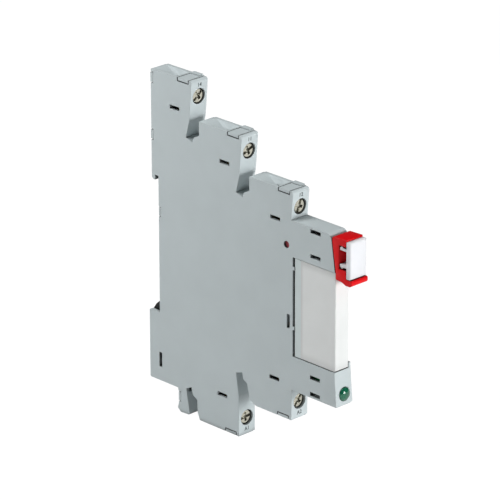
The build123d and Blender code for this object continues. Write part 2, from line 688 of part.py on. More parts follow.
def make_tag():
    plate = block(TAG_BACK, TAG_FRONT, -LEVER_HALF, LEVER_HALF, TAG_BOTTOM, TAG_TOP)
    plate = fillet(plate.edges().group_by(Axis.X)[-1], 0.4)
    for z, barb in ((16.0, 1), (11.3, -1)):
        x = PRONG_BACK
        plate += block(x, TAG_BACK + 0.1, PRONG_NEAR, PRONG_FAR, z - 0.4, z + 0.4)
        barbed = z + barb * 0.75
        plate += prism([(x, z), (x + 1.1, z), (x + 1.1, barbed), (x + 0.5, barbed)], PRONG_NEAR, PRONG_FAR)
    return plate


# Rail clip

def make_clip():
    leg = prism([
        (-3.1, -39.0), (-3.1, -23.4), (-3.8, -22.9), (-3.8, -22.3), (-2.7, -20.7), (-1.25, -19.4),
        (-1.1, -17.9), (-0.15, -17.9), (-0.15, -22.6), (-0.25, -22.8), (-0.25, -39.0),
    ], CLIP_NEAR, CLIP_FAR)
    hook = prism([(-2.7, -20.7), (-2.5, -17.6), (-1.7, -16.1), (-1.1, -16.4), (-1.1, -19.4)], 0.2, CLIP_FAR)
    arm = block(-3.1, 13.0, -1.6, CLIP_FAR - 0.25, -39.0, -37.0)
    window = block(-5, 1, -1.15, 1.15, -36.6, -27.5)
    eye = block(9.9, 12.1, -0.8, 1.0, -40, -36)
    return leg + hook + arm - window - eye


def make_spring():
    """A compression spring with flat closed ends."""
    height = SPRING_TOP - SPRING_BOTTOM - SPRING_WIRE
    path = Helix(pitch=height / SPRING_TURNS, height=height, radius=SPRING_R)
    start = path @ 0
    section = Plane(origin=start, z_dir=path % 0) * Circle(SPRING_WIRE / 2)
    coil = sweep(section, path=path)
    return Pos(SPRING_X, 0, SPRING_BOTTOM + SPRING_WIRE / 2) * coil


def make_plug():
    """A round plug set a little below the near side, wider behind the wall."""
    face = NEAR + 0.3
    stem = cross_rod(PLUG_R - 0.03, *PLUG, face, INSIDE + 0.1)
    return stem + cross_rod(PLUG_R + 0.4, *PLUG, INSIDE + 0.02, INSIDE + 0.6)


# All the sub-parts

def make_all():
    parts = {
        "housing_shell": make_shell(),
        "housing_cover": make_cover(),
        "relay_base": make_relay_base(),
        "relay_case": make_relay_case(),
        "relay_coil_pins": make_coil_pins(),
        "relay_common_pin": make_common_pin(),
        "contact_blade": make_blade(),
        "normally_open_contact": make_open_contact(),
        "normally_closed_contact": make_closed_contact(),
        "coil_bobbin": make_bobbin(),
        "coil_winding": make_winding(),
        "coil_core": make_core(),
        "coil_yoke": make_yoke(),
        "relay_armature": make_armature(),
        "pusher_card": make_card(),
        "circuit_board": make_board(),
        "led": make_led(),
        "lamp_lens": make_lens(),
        "rectifier_diodes": on_board([(x, z) for x in (47.6, 51.2) for z in (-23.6, -27.4)], 2.6, 1.6, 1.0),
        "board_resistors": on_board([(x, -23.4) for x in (30.0, 34.6, 39.2)], 3.2, 1.6, 0.6),
        "board_capacitor": on_board([(30.5, -27.2)], 3.5, 2.8, 1.9),
        "eject_lever": make_lever(),
        "marker_tag": make_tag(),
        "rail_clip": make_clip(),
        "rail_clip_spring": make_spring(),
        "marking_plug": make_plug(),
    }
    for name, front, end, up in TERMINALS:
        parts["terminal_screw_" + name] = make_screw(front, end, up)
        parts["clamp_cage_" + name] = make_cage(front, end, up)
        parts["busbar_" + name] = make_busbar(name, front, end, up)
    return parts


os.makedirs("parts", exist_ok=True)
for node, shape in make_all().items():
    export_step(shape, "parts/" + node + ".step")
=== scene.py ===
import math
import bmesh
import bpy
from mathutils import Matrix, Vector


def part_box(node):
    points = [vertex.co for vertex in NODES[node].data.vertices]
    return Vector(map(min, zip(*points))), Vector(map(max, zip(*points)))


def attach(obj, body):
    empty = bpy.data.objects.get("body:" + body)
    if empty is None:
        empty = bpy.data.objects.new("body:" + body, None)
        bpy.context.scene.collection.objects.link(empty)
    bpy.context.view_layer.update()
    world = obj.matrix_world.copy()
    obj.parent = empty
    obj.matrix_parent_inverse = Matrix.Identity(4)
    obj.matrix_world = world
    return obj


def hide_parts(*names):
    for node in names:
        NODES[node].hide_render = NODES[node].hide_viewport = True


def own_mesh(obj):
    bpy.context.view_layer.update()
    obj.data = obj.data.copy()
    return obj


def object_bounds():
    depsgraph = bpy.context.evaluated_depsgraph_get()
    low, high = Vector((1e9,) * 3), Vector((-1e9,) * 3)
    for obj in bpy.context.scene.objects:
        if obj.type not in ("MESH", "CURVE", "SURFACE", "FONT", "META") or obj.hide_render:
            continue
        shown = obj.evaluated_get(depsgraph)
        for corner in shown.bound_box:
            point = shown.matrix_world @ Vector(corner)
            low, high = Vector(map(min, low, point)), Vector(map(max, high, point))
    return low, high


bl_info = {
    "name": "Interface Relay",
    "version": (1, 0, 0),
    "blender": (4, 5, 0),
    "location": "View3D > Sidebar > Interface Relay",
    "description": "A slim rail-mounted interface relay with its materials and its studio",
    "category": "Object",
}

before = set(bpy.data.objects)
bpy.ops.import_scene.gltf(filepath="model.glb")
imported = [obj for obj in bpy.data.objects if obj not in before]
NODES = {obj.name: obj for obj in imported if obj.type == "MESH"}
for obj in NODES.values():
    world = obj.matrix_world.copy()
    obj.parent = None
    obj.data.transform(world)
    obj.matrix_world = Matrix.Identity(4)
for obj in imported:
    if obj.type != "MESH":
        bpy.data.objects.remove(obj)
CAD_LOW, CAD_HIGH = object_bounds()

MM = 0.001

# The camera, fitted to the photograph: angles in degrees, distances in millimetres
CAMERA_AZIMUTH = 45.76
CAMERA_ELEVATION = 21.62
CAMERA_ROLL = -0.12
CAMERA_TARGET = (34.4, -0.1, -4.7)
CAMERA_BACK = 1071.0
CAMERA_RIGHT = -1.39
CAMERA_UP = 9.10
CAMERA_LENS = 288.0
CAMERA_CLIP = (0.1, 20)

# The studio, in metres: each lamp's place and width, and half the floor's width
LAMPS = {
    "front_lamp": ((0.80, 0.12, 0.08), 0.3),
    "top_lamp": ((-0.10, -0.05, 0.75), 0.4),
    "side_lamp": ((-0.10, -0.20, 0.18), 0.15),
}
FLOOR_HALF = 6.0
# The floor glows for the camera by this share and strength, so that its white reaches the picture's edge
FLOOR_GLOW_SHARE = 0.9
FLOOR_GLOW = 1.1

# The terminal screws: head with its rim and recess, shank and thread
TERMINALS = ("14", "11", "12", "a1", "a2")
HEAD_SIDES = 64
HEAD_LONG = 1.6 * MM
HEAD_RIM = 0.25 * MM
CROSS_LONG = 2.6 * MM
RECESS = 0.6 * MM
SHANK_R = 1.21 * MM
THREAD_HIGH = 0.04 * MM
THREAD_HALF = 0.4  # half of a thread's foot, as a share of the pitch
# How far each screw stands turned, in sides of its head: no two heads in the photograph stand alike
SCREW_TURNED = {"14": 7, "11": 4, "12": 12, "a1": 1, "a2": 9}

# The numbers: from a screw's centre towards the tower's end, how much bolder than the font, and how far
# the ink stands off the front. A ray from outside finds the front.
NUMBER_OFF = 3.3 * MM
NUMBER_BOLD = 0.03 * MM
INK_LIFT = 0.02 * MM
FONT_SHARE = 1.4  # the font's size over the height of its numbers
FONT_STEPS = 4
RAY_START = 20 * MM

# The rail clip's spring
SPRING_WIRE = 0.35 * MM
SPRING_TURNS = 9
SPRING_CLOSED = 1.05  # pitch of the end turns over the wire's thickness
WIRE_SIDES = 12

# The round plug, with a shallow dish in its face, and the lens with its dome
PLUG_R = 0.93 * MM
PLUG_LONG = 0.85 * MM
PLUG_DISH = 0.12 * MM
PLUG_FLANGE = 0.45 * MM
LENS_DOME = 1.2 * MM
LENS_FLANGE = 0.4 * MM

# Steps of one turn of a thread or spring, of a turned piece, and of a dome from its wall to its top
TURN_STEPS = 24
ROUND_STEPS = 48
DOME_STEPS = 10

# Meshes: points nearer than this are one, and angles in degrees
WELD = 0.002 * MM
FLAT_ANGLE = 1
EASE_ANGLE = 30
SMOOTH_ANGLE = 32
SHORTEST_EASED = 3  # an edge is eased when it is longer than this many widths of the ease

# Painted shade in gaps: how narrow they are, and the least share of the colour that is left there.
# Where less than SHADE_LOW of the surroundings is open the painted shade is darkest, and above SHADE_HIGH
# there is none.
SHADE_LOW = 0.3
SHADE_HIGH = 0.66
PLASTIC_SHADE_GAP = 2.6 * MM
PLASTIC_SHADE_LEAST = 0.03
METAL_SHADE_GAP = 1.0 * MM
METAL_SHADE_LEAST = 0.6

# Width of the soft clouds of tone. The bands of a wave lie about a third of its length apart.
PLASTIC_CLOUD = 9 * MM
CASE_CLOUD = 6 * MM
LENS_FLOW = 2.5 * MM
DIODE_FLOW = 1.5 * MM
WEAVE_WAVE = 0.8 * MM
WINDING_WAVE = 1.2 * MM
LINE_SHRINK = 0.06  # width of a line in metal over its length

# How much smoother and rougher than its mean a surface is from place to place
PLASTIC_ROUGHNESS = (-0.05, 0.07)
METAL_ROUGHNESS = (-0.08, 0.10)

# How deep light goes into milky plastic
MILKY_DEPTH = 1.5 * MM

# Painted shade on the relay's case: it turns greyer near its back and its ends, where the housing around it
# shades it
CASE_BACK_SHADE = 1.2 * MM
CASE_END_SHADE = 2.5 * MM
CASE_SHADE_SHARE = 0.84


# Colour and nodes

def linear(text):
    """An sRGB hex colour as linear red, green, blue and alpha."""
    channels = [int(text[i:i + 2], 16) / 255 for i in (1, 3, 5)]
    return tuple(c / 12.92 if c <= 0.04045 else ((c + 0.055) / 1.055) ** 2.4 for c in channels) + (1.0,)


def add(tree, kind, settings=None, links=None):
    """A node with its settings and its links. A key that is an input's name or number sets that input."""
    node = tree.nodes.new("ShaderNode" + kind)
    for key, value in (settings or {}).items():
        if isinstance(key, str) and hasattr(node, key) and key not in node.inputs:
            setattr(node, key, value)
        else:
            node.inputs[key].default_value = value
    for key, socket in (links or {}).items():
        tree.links.new(socket, node.inputs[key])
    return node


def blank(name):
    """A new node material and its empty tree."""
    material = bpy.data.materials.new(name)
    material.use_nodes = True
    tree = material.node_tree
    tree.nodes.clear()
    return material, tree


def finish_surface(tree, shader):
    """Links a shader to the surface."""
    add(tree, "OutputMaterial", links={"Surface": shader.outputs[0]})


def shaded(colour, share):
    """A colour times a share: below 1 it is darker, above 1 lighter."""
    return tuple(min(1.0, c * share) for c in colour[:3]) + (1.0,)


def two_tones(tree, factor, colour, spread, low=0.35, high=0.65):
    """A ramp by a factor between a darker and a lighter tone of one colour."""
    ramp = add(tree, "ValToRGB", links={"Fac": factor})
    ramp.color_ramp.elements[0].position = low
    ramp.color_ramp.elements[1].position = high
    ramp.color_ramp.elements[0].color = shaded(colour, 1 - spread)
    ramp.color_ramp.elements[1].color = shaded(colour, 1 + spread)
    return ramp.outputs["Color"]


def painted_gap_shade(tree, tone, gap, shade_least):
    """Paints shade into a colour in slots and gaps about as narrow as the given gap, where little light gets
    in.
    """
    closed = add(tree, "AmbientOcclusion", {"samples": 8, "Distance": gap})
    share = add(tree, "MapRange",
                {"From Min": SHADE_LOW, "From Max": SHADE_HIGH, "To Min": shade_least, "To Max": 1.0},
                {"Value": closed.outputs["AO"]})
    shade = add(tree, "Mix", {"data_type": "RGBA", "blend_type": "MULTIPLY", "Factor": 1.0},
                {6: tone, 7: share.outputs["Result"]})
    return shade.outputs[2]


# Plastics

def moulded_plastic(name, colour, spread, roughness, grain_mm, depth_mm, round_mm, specular=0.4,
                    milky=0.0, shade_least=PLASTIC_SHADE_LEAST):
    """Injection moulded plastic: two near tones, spark-eroded grain, softly rounded edges and painted shade
    in narrow gaps.

    Real grain is about 0.05 mm wide. Each grain_mm is coarser than that, so that it shows.
    """
    material, tree = blank(name)
    place = add(tree, "TexCoord").outputs["Object"]
    cloud = add(tree, "TexNoise", {"Scale": 1 / PLASTIC_CLOUD, "Detail": 3.0}, {"Vector": place})
    grain = add(tree, "TexNoise", {"Scale": 1 / (grain_mm * MM), "Detail": 2.0}, {"Vector": place})
    edge = add(tree, "Bevel", {"samples": 4, "Radius": round_mm * MM})
    bump = add(tree, "Bump", {"Strength": 0.6, "Distance": depth_mm * MM},
               {"Height": grain.outputs["Fac"], "Normal": edge.outputs["Normal"]})
    smoother, rougher = PLASTIC_ROUGHNESS
    shine = add(tree, "MapRange", {"To Min": roughness + smoother, "To Max": roughness + rougher},
                {"Value": grain.outputs["Fac"]})
    # Painted shade: the colour is darkened in narrow gaps and slots
    tone = painted_gap_shade(tree, two_tones(tree, cloud.outputs["Fac"], colour, spread), PLASTIC_SHADE_GAP, shade_least)
    shader = add(tree, "BsdfPrincipled",
                 {"IOR": 1.53, "Specular IOR Level": specular, "Subsurface Weight": milky,
                  "Subsurface Scale": MILKY_DEPTH, "Subsurface Radius": (1.0, 1.0, 1.0)},
                 {"Base Color": tone, "Roughness": shine.outputs["Result"],
                  "Normal": bump.outputs["Normal"]})
    finish_surface(tree, shader)
    return material


def polyamide_housing(colour):
    """Grey glass-filled polyamide, moulded: matt, with a fine spark-eroded grain that softens highlights."""
    return moulded_plastic("polyamide_moulded_grey", colour, spread=0.015, roughness=0.52, grain_mm=0.35,
                           depth_mm=0.02, round_mm=0.25)


def polyester_base(colour):
    """Pale grey moulded polyester: near the housing's grey, but a little smoother."""
    return moulded_plastic("polyester_moulded_pale_grey", colour, spread=0.02, roughness=0.42,
                           grain_mm=0.3, depth_mm=0.01, round_mm=0.08)


def abs_lever(colour):
    """Red moulded ABS with a smooth finish: bright, with soft gloss along its rounded edges."""
    return moulded_plastic("abs_moulded_red", colour, spread=0.03, roughness=0.3, grain_mm=1.2,
                           depth_mm=0.008, round_mm=0.45, specular=0.15)


def polyamide_tag(colour):
    """White moulded polyamide for writing on: nearly matt, and milky enough that light softens its edges."""
    return moulded_plastic("polyamide_moulded_white", colour, spread=0.01, roughness=0.5, grain_mm=0.4,
                           depth_mm=0.01, round_mm=0.8, milky=0.6)


def acetal_clip(colour):
    """Black moulded acetal: dark and waxy, with a low sheen."""
    return moulded_plastic("acetal_moulded_black", colour, spread=0.2, roughness=0.45, grain_mm=0.5,
                           depth_mm=0.01, round_mm=0.12, specular=0.15)


def polypropylene_plug(colour):
    """Dark red moulded polypropylene: dull, with little painted shade although it sits in a narrow hole."""
    return moulded_plastic("polypropylene_moulded_dark_red", colour, spread=0.08, roughness=0.5,
                           grain_mm=0.4, depth_mm=0.01, round_mm=0.06, shade_least=0.8)


def printed_ink(colour):
    """Dark grey pad-printed ink: flat and dry, with slightly uneven cover."""
    return moulded_plastic("ink_pad_printed_grey", colour, spread=0.15, roughness=0.7, grain_mm=0.15,
                           depth_mm=0.004, round_mm=0.01, specular=0.2)


def polycarbonate_case(colour):
    """Milky moulded polycarbonate: smooth, with painted shade that turns it greyer at its back and ends,
    where the housing around it shades it.
    """
    material, tree = blank("polycarbonate_moulded_white")
    place = add(tree, "TexCoord").outputs["Object"]
    low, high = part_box("relay_case")
    spot = add(tree, "SeparateXYZ", links={"Vector": place})
    shares = []
    for axis, start, end in (("X", low.x, low.x + CASE_BACK_SHADE), ("Z", low.z, low.z + CASE_END_SHADE),
                             ("Z", high.z, high.z - CASE_END_SHADE)):
        fade = add(tree, "MapRange",
                   {"From Min": start, "From Max": end, "interpolation_type": "SMOOTHSTEP"},
                   {"Value": spot.outputs[axis]})
        shares.append(fade.outputs["Result"])
    both = add(tree, "Math", {"operation": "MULTIPLY"}, {0: shares[0], 1: shares[1]})
    out_of_shade = add(tree, "Math", {"operation": "MULTIPLY"}, {0: both.outputs[0], 1: shares[2]})
    cloud = add(tree, "TexNoise", {"Scale": 1 / CASE_CLOUD, "Detail": 2.0}, {"Vector": place})
    milky = two_tones(tree, cloud.outputs["Fac"], colour, 0.015)
    # Painted shade: a greyer tone of the colour, mixed in near the case's back and ends
    painted_shade_tone = two_tones(tree, cloud.outputs["Fac"], shaded(colour, CASE_SHADE_SHARE), 0.015)
    tone = add(tree, "Mix", {"data_type": "RGBA"}, {"Factor": out_of_shade.outputs[0], 6: painted_shade_tone, 7: milky})
    edge = add(tree, "Bevel", {"samples": 4, "Radius": 0.2 * MM})
    bump = add(tree, "Bump", {"Strength": 0.3, "Distance": 0.01 * MM},
               {"Height": cloud.outputs["Fac"], "Normal": edge.outputs["Normal"]})
    shader = add(tree, "BsdfPrincipled", {"IOR": 1.585, "Roughness": 0.32, "Specular IOR Level": 0.4},
                 {"Base Color": tone.outputs[2], "Normal": bump.outputs["Normal"]})
    finish_surface(tree, shader)
    return material


def polycarbonate_lens(colour):
    """Green tinted polycarbonate, moulded smooth: a clear dome that darkens towards its rim."""
    material, tree = blank("polycarbonate_moulded_green")
    place = add(tree, "TexCoord").outputs["Object"]
    flow = add(tree, "TexNoise", {"Scale": 1 / LENS_FLOW, "Detail": 1.0}, {"Vector": place})
    bump = add(tree, "Bump", {"Strength": 0.25, "Distance": 0.05 * MM}, {"Height": flow.outputs["Fac"]})
    tone = two_tones(tree, flow.outputs["Fac"], colour, 0.2)
    shader = add(tree, "BsdfPrincipled", {"IOR": 1.58, "Roughness": 0.12, "Transmission Weight": 0.45},
                 {"Base Color": tone, "Normal": bump.outputs["Normal"]})
    finish_surface(tree, shader)
    return material


def epoxy_lamp():
    """Clear cast epoxy of a light-emitting diode: glassy and faintly green."""
    material, tree = blank("epoxy_cast_clear")
    place = add(tree, "TexCoord").outputs["Object"]
    flow = add(tree, "TexNoise", {"Scale": 1 / DIODE_FLOW}, {"Vector": place})
    tone = two_tones(tree, flow.outputs["Fac"], linear("#DFEEE2"), 0.05)
    shader = add(tree, "BsdfPrincipled", {"IOR": 1.55, "Roughness": 0.05, "Transmission Weight": 0.8},
                 {"Base Color": tone})
    finish_surface(tree, shader)
    return material


# Board and its chips

def laminate_board():
    """Glass-epoxy laminate under green solder resist: woven glass shows as a fine square weave."""
    material, tree = blank("laminate_resist_green")
    place = add(tree, "TexCoord").outputs["Object"]
    warp, weft = (add(tree, "TexWave", {"Scale": 1 / WEAVE_WAVE, "bands_direction": axis},
                      {"Vector": place}).outputs["Fac"] for axis in "XZ")
    weave = add(tree, "Math", {"operation": "MULTIPLY"}, {0: warp, 1: weft})
    tone = two_tones(tree, weave.outputs[0], linear("#21653E"), 0.22, low=0.1, high=0.9)
    bump = add(tree, "Bump", {"Strength": 0.3, "Distance": 0.02 * MM}, {"Height": weave.outputs[0]})
    shader = add(tree, "BsdfPrincipled", {"IOR": 1.5, "Roughness": 0.25},
                 {"Base Color": tone, "Normal": bump.outputs["Normal"]})
    finish_surface(tree, shader)
    return material


def chip_moulding():
    """Black moulding compound of small chips: dull and finely grained."""
    return moulded_plastic("epoxy_moulding_black", linear("#232426"), spread=0.15, roughness=0.6,
                           grain_mm=0.12, depth_mm=0.01, round_mm=0.05)


def ceramic_chip():
    """Tan fired ceramic of a chip capacitor: dry, with darker specks."""
    return moulded_plastic("ceramic_fired_tan", linear("#A27F4E"), spread=0.12, roughness=0.65,
                           grain_mm=0.2, depth_mm=0.02, round_mm=0.05)


# Metals

def drawn_metal(name, colour, spread, roughness, along, line_mm, round_mm=0.05):
    """Metal with fine lines left by rolling, drawing or turning, which run along one axis, and with painted
    shade in narrow gaps.

    Real lines are about 0.02 mm wide. Each line_mm is coarser than that, so that they show.
    """
    material, tree = blank(name)
    place = add(tree, "TexCoord").outputs["Object"]
    stretch = [1.0, 1.0, 1.0]
    stretch["XYZ".index(along)] = LINE_SHRINK
    laid = add(tree, "Mapping", {"Scale": stretch}, {"Vector": place})
    lines = add(tree, "TexNoise", {"Scale": 1 / (line_mm * MM), "Detail": 4.0}, {"Vector": laid.outputs[0]})
    edge = add(tree, "Bevel", {"samples": 4, "Radius": round_mm * MM})
    bump = add(tree, "Bump", {"Strength": 0.35, "Distance": 0.02 * MM},
               {"Height": lines.outputs["Fac"], "Normal": edge.outputs["Normal"]})
    smoother, rougher = METAL_ROUGHNESS
    shine = add(tree, "MapRange", {"To Min": roughness + smoother, "To Max": roughness + rougher},
                {"Value": lines.outputs["Fac"]})
    # Painted shade: the colour is darkened in narrow gaps and recesses
    tone = painted_gap_shade(tree, two_tones(tree, lines.outputs["Fac"], colour, spread), METAL_SHADE_GAP,
                         METAL_SHADE_LEAST)
    shader = add(tree, "BsdfPrincipled", {"Metallic": 1.0},
                 {"Base Color": tone, "Roughness": shine.outputs["Result"],
                  "Normal": bump.outputs["Normal"]})
    finish_surface(tree, shader)
    return material


def nickel_screw():
    """Nickel-plated steel, cold headed: warm grey, with bright rims and a recess darkened by its depth and
    by painted shade.
    """
    return drawn_metal("nickel_plated_steel_headed", linear("#BAB8AA"), spread=0.16, roughness=0.24,
                       along="X", line_mm=0.25, round_mm=0.12)


def spring_wire():
    """Drawn spring steel: grey, with fine bright lines."""
    return drawn_metal("spring_steel_drawn", linear("#9A9D9F"), spread=0.15, roughness=0.35, along="Z",
                       line_mm=0.12)


def rolled_brass():
    """Rolled and stamped brass: warm yellow, with rolling lines up the strip."""
    return drawn_metal("brass_rolled_stamped", linear("#D1AD63"), spread=0.1, roughness=0.32, along="Z",
                       line_mm=0.2)


def annealed_iron():
    """Annealed iron with a thin nickel flash: cool and slightly mottled."""
    return drawn_metal("iron_annealed_nickel_flash", linear("#A3A5A6"), spread=0.12, roughness=0.42,
                       along="Z", line_mm=0.4)


def enamelled_winding():
    """Enamelled copper wire, wound: turns lie side by side up the coil.

    Real wire is about 0.1 mm thick. Its turns are drawn 0.4 mm apart, so that they show.
    """
    material, tree = blank("copper_enamelled_wound")
    place = add(tree, "TexCoord").outputs["Object"]
    turns = add(tree, "TexWave", {"Scale": 1 / WINDING_WAVE, "bands_direction": "Z", "Distortion": 0.3},
                {"Vector": place})
    tone = two_tones(tree, turns.outputs["Fac"], linear("#AC5529"), 0.4, low=0.1, high=0.8)
    bump = add(tree, "Bump", {"Strength": 0.8, "Distance": 0.1 * MM}, {"Height": turns.outputs["Fac"]})
    shader = add(tree, "BsdfPrincipled", {"Metallic": 0.7, "Roughness": 0.35},
                 {"Base Color": tone, "Normal": bump.outputs["Normal"]})
    finish_surface(tree, shader)
    return material


# Studio finishes

def studio_floor(colour):
    """Matt pale floor that bounces soft light, and glows for the camera so that its white is even."""
    material, tree = blank("studio_floor_white")
    path = add(tree, "LightPath")
    seen = add(tree, "Math", {"operation": "MAXIMUM"},
               {0: path.outputs["Is Camera Ray"], 1: path.outputs["Is Glossy Ray"]})
    seen = add(tree, "Math", {"operation": "MAXIMUM"},
               {0: seen.outputs[0], 1: path.outputs["Is Transmission Ray"]})
    share = add(tree, "Math", {"operation": "MULTIPLY", 1: FLOOR_GLOW_SHARE}, {0: seen.outputs[0]})
    matt = add(tree, "BsdfDiffuse", {"Color": linear("#E6E6E6")})
    glow = add(tree, "Emission", {"Color": colour, "Strength": FLOOR_GLOW})
    shader = add(tree, "MixShader", links={0: share.outputs[0], 1: matt.outputs[0], 2: glow.outputs[0]})
    finish_surface(tree, shader)
    return material


def studio_world(strength):
    """Even light from all round, which the camera sees as white."""
    world = bpy.data.worlds.new("studio_world")
    world.use_nodes = True
    tree = world.node_tree
    tree.nodes.clear()
    path = add(tree, "LightPath")
    plain = add(tree, "Background", {"Strength": strength, "Color": (1, 1, 1, 1)})
    white = add(tree, "Background", {"Strength": 1.0, "Color": (1, 1, 1, 1)})
    both = add(tree, "MixShader",
               links={0: path.outputs["Is Camera Ray"], 1: plain.outputs[0], 2: white.outputs[0]})
    add(tree, "OutputWorld", links={"Surface": both.outputs[0]})
    return world


# Shaping

def linked(name, data):
    """A new object, linked to the scene."""
    thing = bpy.data.objects.new(name, data)
    bpy.context.scene.collection.objects.link(thing)
    return thing


def mesh_from(shape, name, material):
    """A bmesh as a mesh with its material."""
    mesh = bpy.data.meshes.new(name)
    shape.to_mesh(mesh)
    shape.free()
    mesh.materials.append(material)
    return mesh


def piece_from(shape, name, body, material):
    """A bmesh as a piece of the object, which rides on a body."""
    piece = linked(name, mesh_from(shape, name, material))
    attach(piece, body)
    return piece


def smooth(shape):
    """Shades every face smoothly."""
    for face in shape.faces:
        face.smooth = True


def turn(shape, angle, axis):
    """Turns a whole bmesh round an axis through zero."""
    bmesh.ops.rotate(shape, verts=shape.verts, cent=(0, 0, 0), matrix=Matrix.Rotation(angle, 3, axis))


def move(shape, x, y, z):
    """Moves a whole bmesh."""
    bmesh.ops.translate(shape, verts=shape.verts, vec=(x, y, z))


def eased_copy(node, body, material, width):
    """A copy of a CAD node with its corners eased, which stands for it."""
    shape = bmesh.new()
    shape.from_mesh(NODES[node].data)
    bmesh.ops.remove_doubles(shape, verts=shape.verts, dist=WELD)
    bmesh.ops.dissolve_limit(shape, angle_limit=math.radians(FLAT_ANGLE), verts=shape.verts,
                             edges=shape.edges)
    sharp = [e for e in shape.edges if len(e.link_faces) == 2 and e.calc_length() > SHORTEST_EASED * width
             and e.calc_face_angle() > math.radians(EASE_ANGLE)]
    bmesh.ops.bevel(shape, geom=sharp, offset=width, offset_type="OFFSET", segments=2, profile=0.5,
                    affect="EDGES", clamp_overlap=True, material=-1)
    smooth(shape)
    piece = piece_from(shape, node + "_eased", body, material)
    piece.data.set_sharp_from_angle(angle=math.radians(SMOOTH_ANGLE))
    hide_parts(node)


def paint_node(node, material):
    """Gives a CAD node its finish."""
    if not NODES[node].material_slots:
        NODES[node].data.materials.append(material)
    for held in NODES[node].material_slots:
        held.material = material


def screw_shape(head_r, length, slot_wide, pitch):
    """A cheese-head screw with a slot and cross recess, its face at 0 and its length down -Z."""
    shape = bmesh.new()
    bmesh.ops.create_circle(shape, cap_ends=True, segments=HEAD_SIDES, radius=head_r - HEAD_RIM)
    half = slot_wide / 2
    arm = CROSS_LONG / 2
    for x, y, nx, ny in ((0, half, 0, 1), (0, -half, 0, 1), (half, 0, 1, 0), (-half, 0, 1, 0),
                         (arm, 0, 1, 0), (-arm, 0, 1, 0)):
        bmesh.ops.bisect_plane(shape, geom=shape.verts[:] + shape.edges[:] + shape.faces[:],
                               plane_co=(x, y, 0), plane_no=(nx, ny, 0))
    sunk = []
    for face in shape.faces:
        middle = face.calc_center_median()
        in_slot = abs(middle.x) < half
        in_cross = abs(middle.y) < half and abs(middle.x) < arm
        if in_slot or in_cross:
            sunk.append(face)
    rim = [e for e in shape.edges if e.is_boundary]
    pushed = bmesh.ops.extrude_face_region(shape, geom=sunk)
    bmesh.ops.delete(shape, geom=sunk, context="FACES_ONLY")
    low = [v for v in pushed["geom"] if isinstance(v, bmesh.types.BMVert)]
    bmesh.ops.translate(shape, verts=low, vec=(0, 0, -RECESS))
    ring = [e for e in rim if e.is_valid and e.is_boundary and e.verts[0].co.z > -RECESS / 2]
    for radius, z in ((head_r, -HEAD_RIM), (head_r, -HEAD_LONG), (SHANK_R, -HEAD_LONG),
                      (SHANK_R, -length)):
        grown = bmesh.ops.extrude_edge_only(shape, edges=ring)
        ring = [e for e in grown["geom"] if isinstance(e, bmesh.types.BMEdge)]
        for vert in {v for e in ring for v in e.verts}:
            flat = Vector((vert.co.x, vert.co.y)).normalized() * radius
            vert.co = (flat.x, flat.y, z)
    bmesh.ops.contextual_create(shape, geom=ring)
    start = -HEAD_LONG - pitch
    a = shape.verts.new((SHANK_R, 0, start + pitch * THREAD_HALF))
    b = shape.verts.new((SHANK_R + THREAD_HIGH, 0, start))
    c = shape.verts.new((SHANK_R, 0, start - pitch * THREAD_HALF))
    thread = [shape.edges.new((a, b)), shape.edges.new((b, c))]
    turns = int((length - HEAD_LONG - 2 * pitch) / pitch)
    bmesh.ops.spin(shape, geom=[a, b, c] + thread, cent=(0, 0, 0), axis=(0, 0, 1),
                   dvec=(0, 0, -pitch / TURN_STEPS), angle=math.tau * turns, steps=TURN_STEPS * turns,
                   use_merge=False)
    bmesh.ops.recalc_face_normals(shape, faces=shape.faces)
    return shape


def spring_shape(outer_r, length):
    """A compression spring round Z from 0 up, with the first and last turn wound closer."""
    shape = bmesh.new()
    bmesh.ops.create_circle(shape, cap_ends=True, segments=WIRE_SIDES, radius=SPRING_WIRE / 2)
    turn(shape, math.pi / 2, "X")
    move(shape, outer_r - SPRING_WIRE / 2, 0, SPRING_WIRE / 2)
    closed = SPRING_WIRE * SPRING_CLOSED
    open_pitch = (length - SPRING_WIRE - 2 * closed) / (SPRING_TURNS - 2)
    end = shape.faces[:]
    for count, rise in ((1, closed), (SPRING_TURNS - 2, open_pitch), (1, closed)):
        verts = list({v for face in end for v in face.verts})
        edges = list({e for face in end for e in face.edges})
        spun = bmesh.ops.spin(shape, geom=verts + edges + end, cent=(0, 0, 0), axis=(0, 0, 1),
                              dvec=(0, 0, rise / TURN_STEPS), angle=math.tau * count,
                              steps=TURN_STEPS * count, use_merge=False)
        end = [f for f in spun["geom_last"] if isinstance(f, bmesh.types.BMFace)]
    bmesh.ops.recalc_face_normals(shape, faces=shape.faces)
    smooth(shape)
    return shape


def dome_shape(radius, wall, rise, flange_r, flange_long):
    """Turned round Z: a flange, a straight wall and a dome on top, or a dish where the rise is negative."""
    shape = bmesh.new()
    points = [(0, 0), (flange_r, 0), (flange_r, flange_long), (radius, flange_long), (radius, wall)]
    for i in range(1, DOME_STEPS + 1):
        lean = math.pi / 2 * i / DOME_STEPS
        points.append((radius * math.cos(lean), wall + rise * math.sin(lean)))
    verts = [shape.verts.new((x, 0, z)) for x, z in points]
    edges = [shape.edges.new(pair) for pair in zip(verts, verts[1:])]
    bmesh.ops.spin(shape, geom=verts + edges, cent=(0, 0, 0), axis=(0, 0, 1), angle=math.tau,
                   steps=ROUND_STEPS, use_merge=True)
    bmesh.ops.remove_doubles(shape, verts=shape.verts, dist=WELD)
    bmesh.ops.recalc_face_normals(shape, faces=shape.faces)
    smooth(shape)
    return shape


